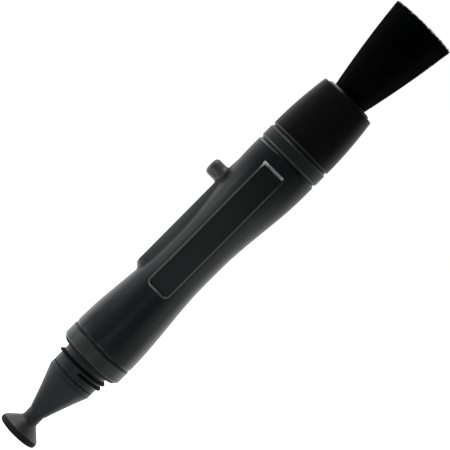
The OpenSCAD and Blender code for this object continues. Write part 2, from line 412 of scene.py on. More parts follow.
@dataclass(frozen=True)
class MouldedPlastic(MarkedFinish):
    """Satin moulded plastic with a fine grain, soft mottling and a little dust."""

    gloss: float = 0.2
    mottle: float = 2.4 * MM
    mottle_gain: float = 1.5
    mottle_lift: float = 0.002
    mottle_rough: float = 0.1
    smear: float = 7.0 * MM
    smear_drawn: Stretch = (0.35, 1.0, 1.0)
    smear_limits: Limits = (0.45, 0.7)
    smear_rough: float = 0.05
    grain: float = 0.09 * MM
    grain_depth: float = 0.004 * MM
    grain_strength: float = 0.6
    speck: float = 1.1 * MM
    speck_share: float = 0.07
    dust: float = 0.5
    dust_patch: float = 5.0 * MM
    dust_limits: Limits = (0.5, 0.72)
    dust_rough: float = 0.25
    dust_colour: Colour = grey(0.16, 0.03)

    def _sockets(self, bench: Bench) -> dict[str, Any]:
        """Mixes the plastic.

        Args:
            bench: The material in the making.

        Returns:
            What feeds the sockets of the shader.
        """
        mottle = bench.noise(self.mottle, 4.0)
        smears = bench.noise(self.smear, 2.0, self.smear_drawn).step(*self.smear_limits)
        grain = bench.noise(self.grain, 2.0)
        patches = bench.noise(self.dust_patch, 1.0).step(*self.dust_limits)
        dust = bench.specks(self.speck, self.speck_share) * patches
        light = toned(self.colour, self.mottle_gain, self.mottle_lift)
        cloudy = bench.mix(mottle, self.colour, light)
        rough = self.roughness + self.mottle_rough * (mottle - 0.5)
        rough = rough - self.smear_rough * smears + self.dust_rough * dust
        # Painted highlights and painted shade go into the plastic's colour here.
        marked, rough = self._marked(bench, cloudy, rough)
        return {
            "Base Color": bench.mix(dust * self.dust, marked, self.dust_colour),
            "Roughness": rough,
            "Specular IOR Level": self.gloss,
            "Normal": bench.bump(grain, self.grain_depth, self.grain_strength),
        }


@dataclass(frozen=True)
class TurnedTrim(MarkedFinish):
    """Dark anodised trim with the fine rings that turning leaves."""

    gloss: float = 0.3
    metal: float = 0.4
    ring_pitch: float = 0.07 * MM
    ring_drawn: Stretch = (1.0, 0.02, 0.02)
    ring_depth: float = 0.003 * MM
    ring_strength: float = 0.5
    ring_share: float = 0.6
    ring_rough: float = 0.12
    cloud: float = 3.0 * MM
    cloud_rough: float = 0.08
    light_gain: float = 1.35

    def _sockets(self, bench: Bench) -> dict[str, Any]:
        """Mixes the trim.

        Args:
            bench: The material in the making.

        Returns:
            What feeds the sockets of the shader.
        """
        rings = bench.noise(self.ring_pitch, 3.0, self.ring_drawn)
        cloud = bench.noise(self.cloud, 3.0)
        share = self.ring_share * rings + (1.0 - self.ring_share) * cloud
        turned = bench.mix(share, self.colour, toned(self.colour, self.light_gain))
        rough = self.roughness + self.ring_rough * (rings - 0.5) + self.cloud_rough * (cloud - 0.5)
        # Painted highlights and painted shade go into the trim's colour here.
        marked, rough = self._marked(bench, turned, rough)
        return {
            "Base Color": marked,
            "Metallic": self.metal,
            "Roughness": rough,
            "Specular IOR Level": self.gloss,
            "Normal": bench.bump(rings, self.ring_depth, self.ring_strength),
        }


@dataclass(frozen=True)
class SoftRubber(Finish):
    """Dark elastomer with a dull bloom."""

    gloss: float = 0.35
    bloom: float = 0.9 * MM
    bloom_limits: Limits = (0.35, 0.75)
    bloom_rough: float = 0.14
    bloom_colour: Colour = grey(0.02)
    skin: float = 0.12 * MM
    skin_depth: float = 0.006 * MM
    skin_strength: float = 0.5

    def _sockets(self, bench: Bench) -> dict[str, Any]:
        """Mixes the rubber.

        Args:
            bench: The material in the making.

        Returns:
            What feeds the sockets of the shader.
        """
        bloom = bench.noise(self.bloom, 4.0)
        skin = bench.noise(self.skin, 2.0)
        light = bloom.step(*self.bloom_limits)
        return {
            "Base Color": bench.mix(light, self.colour, self.bloom_colour),
            "Roughness": self.roughness + self.bloom_rough * (bloom - 0.5),
            "Specular IOR Level": self.gloss,
            "Normal": bench.bump(skin, self.skin_depth, self.skin_strength),
        }


@dataclass(frozen=True)
class Suede(Finish):
    """Short black nap, brushed to and fro."""

    gloss: float = 0.15
    sheen: float = 0.08
    sheen_roughness: float = 0.4
    stroke: float = 0.7 * MM
    stroke_share: float = 0.5
    stroke_height: float = 0.6
    fibre: float = 0.06 * MM
    fibre_depth: float = 0.03 * MM
    fibre_strength: float = 0.7
    nap_colour: Colour = grey(0.02)

    def _sockets(self, bench: Bench) -> dict[str, Any]:
        """Mixes the suede.

        Args:
            bench: The material in the making.

        Returns:
            What feeds the sockets of the shader.
        """
        strokes = bench.noise(self.stroke, 3.0)
        fibres = bench.noise(self.fibre, 3.0)
        light = self.stroke_share * strokes + (1.0 - self.stroke_share) * fibres
        height = fibres + self.stroke_height * strokes
        return {
            "Base Color": bench.mix(light, self.colour, self.nap_colour),
            "Roughness": self.roughness,
            "Specular IOR Level": self.gloss,
            "Sheen Weight": self.sheen,
            "Sheen Roughness": self.sheen_roughness,
            "Normal": bench.bump(height, self.fibre_depth, self.fibre_strength),
        }


@dataclass(frozen=True)
class BrushHair(Finish):
    """Fine black hair, glossier along some strands than others."""

    gloss: float = 0.08
    strand: float = 0.3 * MM
    strand_drawn: Stretch = (0.05, 1.0, 1.0)
    strand_limits: Limits = (0.4, 0.7)
    strand_rough: float = 0.2
    light_colour: Colour = grey(0.0045, -0.2)

    def _sockets(self, bench: Bench) -> dict[str, Any]:
        """Mixes the hair.

        Args:
            bench: The material in the making.

        Returns:
            What feeds the sockets of the shader.
        """
        strands = bench.noise(self.strand, 2.0, self.strand_drawn)
        light = strands.step(*self.strand_limits)
        return {
            "Base Color": bench.mix(light, self.colour, self.light_colour),
            "Roughness": self.roughness + self.strand_rough * (strands - 0.5),
            "Specular IOR Level": self.gloss,
        }


@dataclass(frozen=True)
class DrawnMetal(Finish):
    """Bright drawn tube with fine lines along it."""

    line: float = 0.1 * MM
    line_drawn: Stretch = (0.02, 1.0, 1.0)
    line_depth: float = 0.003 * MM
    line_strength: float = 0.4
    line_rough: float = 0.15
    stain: float = 2.0 * MM
    stain_limits: Limits = (0.4, 0.7)
    stain_gain: float = 0.7
    stain_rough: float = 0.1

    def _sockets(self, bench: Bench) -> dict[str, Any]:
        """Mixes the metal.

        Args:
            bench: The material in the making.

        Returns:
            What feeds the sockets of the shader.
        """
        lines = bench.noise(self.line, 3.0, self.line_drawn)
        stain = bench.noise(self.stain, 4.0)
        dull = toned(self.colour, self.stain_gain)
        rough = self.roughness + self.line_rough * (lines - 0.5) + self.stain_rough * stain
        return {
            "Base Color": bench.mix(stain.step(*self.stain_limits), self.colour, dull),
            "Metallic": 1.0,
            "Roughness": rough,
            "Normal": bench.bump(lines, self.line_depth, self.line_strength),
        }


# The barrel's painted highlights run up to near white.
BARREL_BLACK = MouldedPlastic(
    "satin_black_barrel", "barrel_black", grey(0.0075, -0.12), 0.36, painted_highlight=grey(0.9)
)
COLLAR_BLACK = MouldedPlastic(
    "smooth_black_collar", "collar_black", grey(0.005), 0.38, gloss=0.08, grain_depth=0.002 * MM
)
NOSE_SLATE = MouldedPlastic("satin_slate_nose", "nose_slate", grey(0.014, -0.1), 0.48)
KNOB_BLACK = MouldedPlastic("satin_black_knob", "knob_black", grey(0.042), 0.45, gloss=0.7)
CARRIAGE_GREY = MouldedPlastic("plain_grey_carriage", "carriage_grey", grey(0.03), 0.5)
ROOT_RESIN = MouldedPlastic("set_resin", "root_resin", grey(0.08, 0.1), 0.3)
TRIM_GREY = TurnedTrim("turned_grey_trim", "trim_grey", (0.026, 0.034, 0.032, 1.0), 0.4)
# A darker, less glossy copy of the trim: painted shade for the brush end, where less light falls.
SHADED_TRIM_GREY = TurnedTrim(
    "turned_trim_painted_shade", "trim_grey", (0.018, 0.024, 0.022, 1.0), 0.4, gloss=0.2, metal=0.25
)
TIP_RUBBER = SoftRubber("soft_grey_rubber", "tip_rubber", grey(0.008), 0.5)
PAD_SUEDE = Suede("black_suede", "pad_suede", grey(0.006), 0.9)
HAIR_BLACK = BrushHair("fine_black_hair", "brush_hair", grey(0.0012, -0.2), 0.5)
FERRULE_METAL = DrawnMetal("drawn_ferrule", "ferrule_metal", grey(0.27, -0.02), 0.3)


def finished(
    shape: Shape,
    name: str,
    finish: Finish,
    body: Body = Body.PEN,
    stands_for: Iterable[str] = (),
) -> bpy.types.Object:
    """Makes a shape into a piece of the pen.

    Args:
        shape: The closed shape, which is used up.
        name: The piece's name.
        finish: Its finish.
        body: The body that it rides on.
        stands_for: The nodes of the frame that it replaces.

    Returns:
        The piece's object.
    """
    bmesh.ops.remove_doubles(shape, verts=shape.verts, dist=MERGE)
    bmesh.ops.recalc_face_normals(shape, faces=shape.faces)
    mesh = bpy.data.meshes.new(name)
    shape.to_mesh(mesh)
    shape.free()
    mesh.shade_smooth()
    mesh.set_sharp_from_angle(angle=SHARP_ANGLE)
    return dressed(mesh, name, finish, body, stands_for)


def dressed(
    mesh: bpy.types.Mesh,
    name: str,
    finish: Finish,
    body: Body,
    stands_for: Iterable[str] = (),
) -> bpy.types.Object:
    """Gives a finished mesh its object, finish and body, and hides the nodes that it replaces.

    Args:
        mesh: The mesh, in the frame's axes.
        name: The piece's name.
        finish: Its finish.
        body: The body that it rides on.
        stands_for: The nodes of the frame that it replaces.

    Returns:
        The piece's object.
    """
    mesh.materials.append(finish.material())
    piece = linked(name, mesh)
    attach(piece, body.value)
    for node in stands_for:
        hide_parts(node)
    LOG.info("%s: %d faces, %s", name, len(mesh.polygons), finish.name)
    return piece


@dataclass(frozen=True)
class Corner:
    """A corner of a turned outline: its place, radius, rounding, painted highlight and painted
    shade.
    """

    x: float
    r: float
    soft: float = 0.0
    painted_highlight: float = 0.0
    painted_shade: float = 0.0

    @property
    def point(self) -> Vector:
        """The corner in the plane of the outline."""
        return Vector((self.x, self.r, 0.0))


class Lathe:
    """Turns outlines into shapes of revolution about the pen's axis."""

    arc_steps: int = 5
    support: float = 0.3
    # The share of a painted highlight that stays on the side away from the light.
    highlight_under: float = 0.4

    @classmethod
    def _rounded(cls, before: Corner, corner: Corner, after: Corner) -> list[Vector]:
        """Rounds one corner, with a supporting point on each side of its arc.

        Args:
            before: The corner before it.
            corner: The corner to round.
            after: The corner after it.

        Returns:
            The points that take the corner's place.
        """
        if corner.soft <= 0.0:
            return [corner.point]
        back = (before.point - corner.point).normalized()
        ahead = (after.point - corner.point).normalized()
        half = back.angle(ahead) / 2.0
        reach = corner.soft / math.tan(half)
        centre = corner.point + (back + ahead).normalized() * (corner.soft / math.sin(half))
        first, last = corner.point + back * reach, corner.point + ahead * reach
        start, stop = (first - centre).normalized(), (last - centre).normalized()
        arc = [
            centre + corner.soft * start.slerp(stop, step / cls.arc_steps)
            for step in range(cls.arc_steps + 1)
        ]
        margin = reach * cls.support
        return [first + back * margin, *arc, last + ahead * margin]

    @classmethod
    def _dim_unlit_highlights(cls, shape: Shape) -> None:
        """Leaves the painted highlights less bright away from the slider's side, where less light
        falls.

        Args:
            shape: The turned shape.
        """
        highlight_of = shape.verts.layers.float[PAINTED_HIGHLIGHT]
        for vert in shape.verts:
            aside = vert.co.y / max(math.hypot(vert.co.y, vert.co.z), MERGE)
            vert[highlight_of] *= cls.highlight_under + (1.0 - cls.highlight_under) * smooth(0.5 + aside)

    @classmethod
    def turn(cls, outline: Sequence[Corner], closed: bool = True) -> Shape:
        """Spins an outline round the axis.

        Args:
            outline: The corners, in order round the section.
            closed: Whether the section closes on itself, or else ends on the axis.

        Returns:
            The turned shape.
        """
        shape = bmesh.new()
        count = len(outline)
        shade_of = shape.verts.layers.float.new(PAINTED_SHADE)
        highlight_of = shape.verts.layers.float.new(PAINTED_HIGHLIGHT)
        ring: list[bmesh.types.BMVert] = []
        for index, corner in enumerate(outline):
            inner = closed or 0 < index < count - 1
            points = (
                cls._rounded(outline[index - 1], corner, outline[(index + 1) % count])
                if inner
                else [corner.point]
            )
            for place, point in enumerate(points):
                ring.append(shape.verts.new(point))
                # A corner's painted highlight and painted shade go on its own points, not on the
                # supporting points.
                if len(points) == 1 or 0 < place < len(points) - 1:
                    ring[-1][highlight_of] = corner.painted_highlight
                    ring[-1][shade_of] = corner.painted_shade
        pairs = list(zip(ring, ring[1:])) + ([(ring[-1], ring[0])] if closed else [])
        edges = [shape.edges.new(pair) for pair in pairs]
        bmesh.ops.spin(
            shape,
            geom=ring + edges,
            cent=CENTRE,
            axis=AXIS,
            angle=math.tau,
            steps=TURN_STEPS,
            use_merge=True,
            use_duplicate=False,
        )
        cls._dim_unlit_highlights(shape)
        return shape


@dataclass(frozen=True)
class BarrelHighlights:
    """How bright the barrel's painted highlights are, as shares, and where each begins and fades.

    The mouth and the groove begin and fade at shares of the radius on the slider's side.
    """

    lip: float = 0.8
    mouth: float = 0.9
    mouth_from: float = 0.2
    mouth_fade: float = 0.5
    groove: float = 0.27
    groove_from: float = 0.35
    groove_fade: float = 0.6
    over: float = 0.2
    under: float = 0.115
    spent: float = 0.6
    spent_length: float = 6.0 * MM
    hook_length: float = 1.1 * MM
    soft: float = 1.0 * MM
    slope: float = 0.42
    slope_stop: float = 0.45 * MM
    corner: float = 1.0
    corner_reach: float = 1.14 * MM
    floor: float = 0.0049
    floor_rear: float = 3.0
    floor_soft: float = 0.05 * MM
    waist: float = 0.018
    waist_from: float = 17.0 * MM
    waist_to: float = 43.0 * MM
    waist_fade: float = 7.0 * MM


@dataclass
class Barrel:
    """The waisted grip with its spine, slot and label pocket, and the neck in front of it."""

    travel: float
    node: Span = spanned("barrel")
    ring: Span = spanned("brush_trim_ring")
    plug: Span = spanned("nose_spigot")
    knob: Span = spanned("slider_knob")
    waist_radius: float = 5.19 * MM
    waist_length: float = 3.6 * MM
    front_land: float = 2.0 * MM
    bore: float = 3.8 * MM
    plug_bore: float = 4.33 * MM
    neck_radius: float = 4.75 * MM
    joint_edge: float = 0.45 * MM
    joint_depth: float = 0.22 * MM
    groove_edge: float = 0.42 * MM
    groove_depth: float = 0.36 * MM
    edge_soft: float = 0.2 * MM
    lip_edge: float = 0.45 * MM
    lip_inner: float = 0.12 * MM
    lip_length: float = 0.6 * MM
    spine_half: float = 2.8 * MM
    spine_top: float = 0.9 * MM
    spine_dome: float = 1.8
    spine_round: float = 0.2 * MM
    spine_slope: float = 1.4 * MM
    spine_fan: float = 0.85
    spine_fade: float = 2.4 * MM
    spine_ahead: float = 2.85 * MM
    spine_point: float = 1.3
    spine_reach: float = 3.4 * MM
    slot_half: float = 1.0 * MM
    slot_wall: float = 0.9 * MM
    slot_edge: float = 0.09 * MM
    slot_bevel: float = 0.072 * MM
    tongue_room: float = 1.3 * MM
    pocket_half: float = 2.5 * MM
    pocket_length: float = 29.7 * MM
    pocket_inset: float = 2.6 * MM
    pocket_depth: float = 0.85 * MM
    pocket_corner: float = 1.1 * MM
    pocket_edge: float = 0.3 * MM
    pocket_wall: float = 0.07 * MM
    pocket_slope: float = 0.6 * MM
    label_reach: float = 2.9 * MM
    side_lines: int = 8
    back_lines: int = 34
    highlights: BarrelHighlights = BarrelHighlights()

    def __post_init__(self) -> None:
        """Works out the stations that follow from the frame."""
        self.rear = self.node.start
        self.front = self.ring.start
        self.end_radius = self.ring.radius
        plain = self.front - self.rear - self.joint_edge - self.front_land
        self.draw_in = (plain - self.waist_length) / 2.0
        knob_middle = (self.knob.start + self.knob.end) / 2.0
        self.slot_front = knob_middle + self.tongue_room
        self.slot_rear = knob_middle - self.travel - self.tongue_room
        self.pocket_front = self.front - self.pocket_inset
        self.pocket_rear = self.pocket_front - self.pocket_length
        self.stations = self._stations()
        self.spine_lines = self._spine_lines()
        self.label_lines = self._label_lines()

    def _stations(self) -> list[float]:
        """Lays out the stations along the grip, close where it changes.

        Returns:
            The stations, from the tip end to the brush end.
        """
        fine, margin = 0.05 * MM, 0.1 * MM
        crest = self.slot_front + self.slot_wall
        return graded(
            self.rear,
            (self.rear + self.joint_edge - self.edge_soft, 3),
            (self.rear + self.joint_edge + self.edge_soft, 4),
            (self.plug.end, 16),
            (self.plug.end + fine, 1),
            (self.pocket_rear - self.pocket_edge, 6),
            (self.slot_rear, 44),
            (self.slot_rear + self.spine_slope, 6),
            (crest - self.spine_fade, 24),
            (self.slot_front, 7),
            (crest, 4),
            (self.pocket_front - self.pocket_slope - margin, 10),
            (self.pocket_front + margin, 17),
            (self.front - self.groove_edge - self.edge_soft, 6),
            (self.front - self.groove_edge + self.edge_soft, 4),
            (self.front, 3),
        )

    def _spine_lines(self) -> list[float]:
        """Lays out the lines along the spine.

        Returns:
            Their distances from its middle, across the pen.
        """
        half = graded(
            0.0,
            (self.slot_half - self.slot_edge, 2),
            (self.slot_half, 1),
            (self.slot_half + 2.0 * self.slot_edge, 1),
            (self.spine_reach, 26),
        )
        return [-line for line in reversed(half[1:])] + half

    def _label_lines(self) -> list[float]:
        """Lays out the lines along the label pocket.

        Returns:
            Their distances from its middle, from the slider's side down.
        """
        half = graded(
            0.0,
            (self.pocket_half - self.pocket_corner, 4),
            (self.pocket_half - self.pocket_edge - self.pocket_wall, 12),
            (self.pocket_half - self.pocket_edge, 2),
            (self.pocket_half, 7),
            (self.label_reach, 4),
        )
        return list(reversed(half[1:])) + [-line for line in half]

    def _tube_radius(self, x: float) -> float:
        """Works out the plain waisted tube.

        Args:
            x: A station along it.

        Returns:
            Its outer radius there.
        """
        begin, stop = self.rear + self.joint_edge, self.front - self.front_land
        share = min(max(min(x - begin, stop - x) / self.draw_in, 0.0), 1.0)
        drawn = (self.end_radius - self.waist_radius) * (1.0 - math.cos(math.pi * share)) / 2.0
        joint = self.joint_depth * bend(begin - x, self.edge_soft) / self.joint_edge
        past = bend(x - (self.front - self.groove_edge), self.edge_soft)
        return self.end_radius - drawn - joint - self.groove_depth * past / self.groove_edge

    def _bore_radius(self, x: float) -> float:
        """Returns the inner radius, which is wider where the nose plug sits."""
        return self.plug_bore if x <= self.plug.end else self.bore

    def _angles(self, radius: float) -> list[float]:
        """Returns the angle of every line round a section, from the slider's side.

        Args:
            radius: The radius of the section.

        Returns:
            Angles from minus half a turn to plus half a turn.
        """
        spine = [math.asin(line / radius) for line in self.spine_lines]
        label = [math.pi / 2 - math.asin(line / radius) for line in self.label_lines]
        back = graded(-math.pi, (spine[0], self.back_lines))
        side = graded(spine[-1], (label[0], self.side_lines))
        under = graded(label[-1], (math.pi, self.back_lines // 3))
        return back[:-1] + spine + side[1:-1] + label + under[1:]

    def _bore_angles(self) -> list[float]:
        """Carries the outer lines over to the bore, where the slot's sides stay parallel.

        Returns:
            The angle of every line on the bore, in the same order.
        """
        kept = self.slot_half + 2.0 * self.slot_edge
        slot_out, slot_in = math.asin(kept / self.waist_radius), math.asin(kept / self.bore)
        reach = math.asin(self.spine_reach / self.waist_radius)
        angles = []
        for angle in self._angles(self.waist_radius):
            size = abs(angle)
            if size <= slot_out + MERGE:
                size = math.asin(self.waist_radius * math.sin(size) / self.bore)
            elif size < reach:
                size = slot_in + (size - slot_out) / (reach - slot_out) * (reach - slot_in)
            angles.append(math.copysign(size, angle))
        return angles

    def _spine_share(self, x: float, z: float) -> float:
        """Works out how far the spine has risen out of the tube.

        Args:
            x: A station along it.
            z: The distance from its middle.

        Returns:
            A share, from 0 past its ends to 1.
        """
        foot = self.slot_rear - self.slot_wall - self.spine_slope
        crest = self.slot_front + self.slot_wall + self.spine_ahead
        risen = smooth((x - foot) / (self.spine_slope + self.spine_fan * abs(z)))
        return risen * smooth((crest - self.spine_point * abs(z) - x) / self.spine_fade)

    def spine_fall(self, z: float) -> float:
        """Works out how far the spine's dome falls away.

        Args:
            z: The distance from its middle.

        Returns:
            The drop below its top.
        """
        foot = math.sqrt(self.waist_radius**2 - self.spine_half**2)
        share = max(abs(z) - self.spine_top, 0.0) / (self.spine_half - self.spine_top)
        return (self.end_radius - foot) * share**self.spine_dome

    def _pocket_inside(self, place: Vector) -> float:
        """Measures a place against the pocket's outline.

        Args:
            place: The place.

        Returns:
            How far inside the outline it is, or minus how far outside.
        """
        over_y = abs(place.y) - (self.pocket_half - self.pocket_corner)
        over_x = self.pocket_rear + self.pocket_corner - place.x
        past = math.hypot(over_x, over_y) if min(over_x, over_y) > 0.0 else max(over_x, over_y)
        return self.pocket_corner - past

    def _past_floor(self, place: Vector) -> float:
        """Returns how far a place is past the flat of the pocket's floor."""
        return place.x - self.pocket_front + self.pocket_slope

    def _highlight_share(self, place: Vector) -> float:
        """Works out how much painted highlight lightens the skin.

        Args:
            place: A place on the skin.

        Returns:
            A share, which the groove's lip, the pocket or the waist gives.
        """
        highlights = self.highlights
        lip = abs(place.x - self.front + self.groove_edge) / self.edge_soft
        if lip < 1.0:
            high = smooth((place.y / self.end_radius - highlights.groove_from) / highlights.groove_fade)
            return highlights.groove * smooth(2.0 - 2.0 * lip) * high
        inside = self._pocket_inside(place)
        if place.z < 0.0 or inside < 0.0 or place.x > self.pocket_front:
            past = min(place.x - highlights.waist_from, highlights.waist_to - place.x)
            return highlights.waist * smooth(past / highlights.waist_fade)
        slope = self._highlight_ramp(place)
        return max(self._highlight_line(place, inside), slope, self._highlight_floor(place, inside))

    def _highlight_line(self, place: Vector, inside: float) -> float:
        """Works out the painted highlight on the line round the pocket.

        Args:
            place: A place in the pocket.
            inside: How far it is inside the outline.

        Returns:
            A share, more on the slider's side, and most where that meets the slope.
        """
        highlights = self.highlights
        rim = self.pocket_edge + self.pocket_wall
        line = smooth(inside / self.pocket_wall / 2.0) * smooth((rim - inside) / self.pocket_wall)
        ramp = self._past_floor(place)
        under = highlights.under * (1.0 - highlights.spent * smooth(ramp / highlights.spent_length + 1.0))
        side = under + (highlights.over - under) * smooth(place.y / highlights.soft + 0.5)
        hook = smooth(ramp / highlights.hook_length + 1.0) * smooth(place.y / highlights.soft)
        return line * (side + (highlights.corner - side) * hook)

    def _highlight_ramp(self, place: Vector) -> float:
        """Works out the painted highlight on the slope at the brush end of the pocket.

        Args:
            place: A place in the pocket.

        Returns:
            A share, more at the slope's corners, and none below its lower end.
        """
        highlights = self.highlights
        corner = smooth((abs(place.y) - self.pocket_half + highlights.corner_reach) / self.pocket_slope)
        bright = highlights.slope + (highlights.corner - highlights.slope) * corner
        bright *= smooth(self._past_floor(place) / self.pocket_wall)
        return bright * smooth((place.y + self.pocket_half - highlights.slope_stop) / self.pocket_edge)

    def _highlight_floor(self, place: Vector, inside: float) -> float:
        """Works out the painted light on the pocket's floor.

        Args:
            place: A place in the pocket.
            inside: How far it is inside the outline.

        Returns:
            A small share, more near the tip end, where it lightens the shade by the rear wall.
        """
        highlights = self.highlights
        near = 1.0 - smooth((place.x - self.pocket_rear - self.pocket_edge) / highlights.soft)
        flat = smooth((inside - self.pocket_edge) / highlights.floor_soft)
        return highlights.floor * (1.0 + highlights.floor_rear * near) * flat

    def _pocket_drop(self, place: Vector) -> float:
        """Returns how deep the pocket is under a place on the plain tube.

        Args:
            place: The place before the pocket is sunk.

        Returns:
            The depth, with a rounded edge, a steep wall, and a slope at the brush end.
        """
        inside = self._pocket_inside(place)
        if inside <= 0.0:
            return 0.0
        floor = self.waist_radius - self.pocket_depth
        slope = (place.x - self.pocket_front) / self.pocket_slope + 1.0
        deep = max(place.z - floor - max(slope, 0.0) * (self.end_radius - floor), 0.0)
        edge = self.pocket_edge
        if inside < edge:
            return min(deep, edge - math.sqrt(edge * edge - inside * inside))
        return min(deep, edge + (deep - edge) * smooth((inside - edge) / self.pocket_wall))

    def _outside(self, x: float, angle: float) -> Vector:
        """Returns the place of a point on the outer skin.

        Args:
            x: Its station.
            angle: Its angle round the plain tube.

        Returns:
            The point, with the spine raised and the pocket sunk.
        """
        radius = self._tube_radius(x)
        place = Vector((x, radius * math.cos(angle), radius * math.sin(angle)))
        if place.y > 0.0 and abs(place.z) < self.spine_reach:
            rise = bend(self.end_radius - self.spine_fall(place.z) - place.y, self.spine_round)
            place.y += rise * self._spine_share(x, place.z)
        if place.z > 0.0 and abs(place.y) < self.label_reach:
            place.z -= self._pocket_drop(place)
        return place

    def _grip(self) -> Shape:
        """Makes the grip: a grid wrapped round, slotted, and given its wall.

        Returns:
            The grip's shape.
        """
        shape = bmesh.new()
        outer = [self._angles(self._tube_radius(x)) for x in self.stations]
        inner = self._bore_angles()
        rows, lines = len(self.stations) - 1, len(inner) - 1
        station_of = shape.verts.layers.int.new("station")
        line_of = shape.verts.layers.int.new("line")
        highlight_of = shape.verts.layers.float.new(PAINTED_HIGHLIGHT)
        bmesh.ops.create_grid(shape, x_segments=rows, y_segments=lines, size=1.0)
        for vert in shape.verts:
            row = round((vert.co.x + 1.0) / 2.0 * rows)
            line = round((vert.co.y + 1.0) / 2.0 * lines)
            vert[station_of], vert[line_of] = row, line
            vert.co = self._outside(self.stations[row], outer[row][line])
            # Each point of the skin carries its share of painted highlight.
            vert[highlight_of] = self._highlight_share(vert.co)
        bmesh.ops.remove_doubles(shape, verts=shape.verts, dist=MERGE)
        slot = [face for face in shape.faces if self._in_slot(face.calc_center_median())]
        bmesh.ops.delete(shape, geom=slot, context="FACES")
        skin = bmesh.ops.extrude_face_region(shape, geom=shape.faces[:], use_keep_orig=True)
        for vert in (part for part in skin["geom"] if isinstance(part, bmesh.types.BMVert)):
            x, angle = self.stations[vert[station_of]], inner[vert[line_of]]
            radius = self._bore_radius(x)
            vert.co = (x, radius * math.cos(angle), radius * math.sin(angle))
        bmesh.ops.recalc_face_normals(shape, faces=shape.faces)
        self._ease_slot(shape)
        return shape

    def _in_slot(self, place: Vector) -> bool:
        """Returns whether a place is over the slot."""
        return (
            place.y > 0.0
            and abs(place.z) < self.slot_half
            and self.slot_rear < place.x < self.slot_front
        )

    def _ease_slot(self, shape: Shape) -> None:
        """Rounds the outer edge of the slot.

        Args:
            shape: The slotted grip.
        """
        grown = 1e-6
        rim = [
            edge
            for edge in shape.edges
            if all(
                vert.co.y > self.waist_radius
                and abs(vert.co.z) < self.slot_half + grown
                and self.slot_rear - grown < vert.co.x < self.slot_front + grown
                for vert in edge.verts
            )
            and len(edge.link_faces) == 2
            and edge.calc_face_angle() > SHARP_ANGLE
        ]
        eased(shape, rim, self.slot_bevel)

    def _neck(self) -> Shape:
        """Makes the neck that carries the trim, with a painted highlight on its lip that is
        brightest on the slider's side.

        Returns:
            The neck's shape.
        """
        mouth, highlights = self.node.end, self.highlights
        shape = Lathe.turn(
            [
                Corner(self.front, self.bore),
                Corner(self.front, self.neck_radius),
                Corner(mouth - self.lip_length, self.neck_radius, painted_highlight=highlights.lip),
                Corner(mouth, self.neck_radius, self.lip_edge, highlights.mouth),
                Corner(mouth, self.bore, self.lip_inner),
            ]
        )
        # The painted highlight at the mouth fades away from the slider's side, where less light
        # falls.
        highlight_of = shape.verts.layers.float[PAINTED_HIGHLIGHT]
        for vert in shape.verts:
            if vert.co.x > mouth - self.lip_edge - MERGE:
                high = vert.co.y / self.neck_radius - highlights.mouth_from
                vert[highlight_of] *= smooth(high / highlights.mouth_fade)
        return shape

    def build(self) -> None:
        """Makes the grip and the neck."""
        finished(self._grip(), "barrel_grip", BARREL_BLACK, stands_for=["barrel"])
        finished(self._neck(), "barrel_neck", COLLAR_BLACK, stands_for=["barrel"])


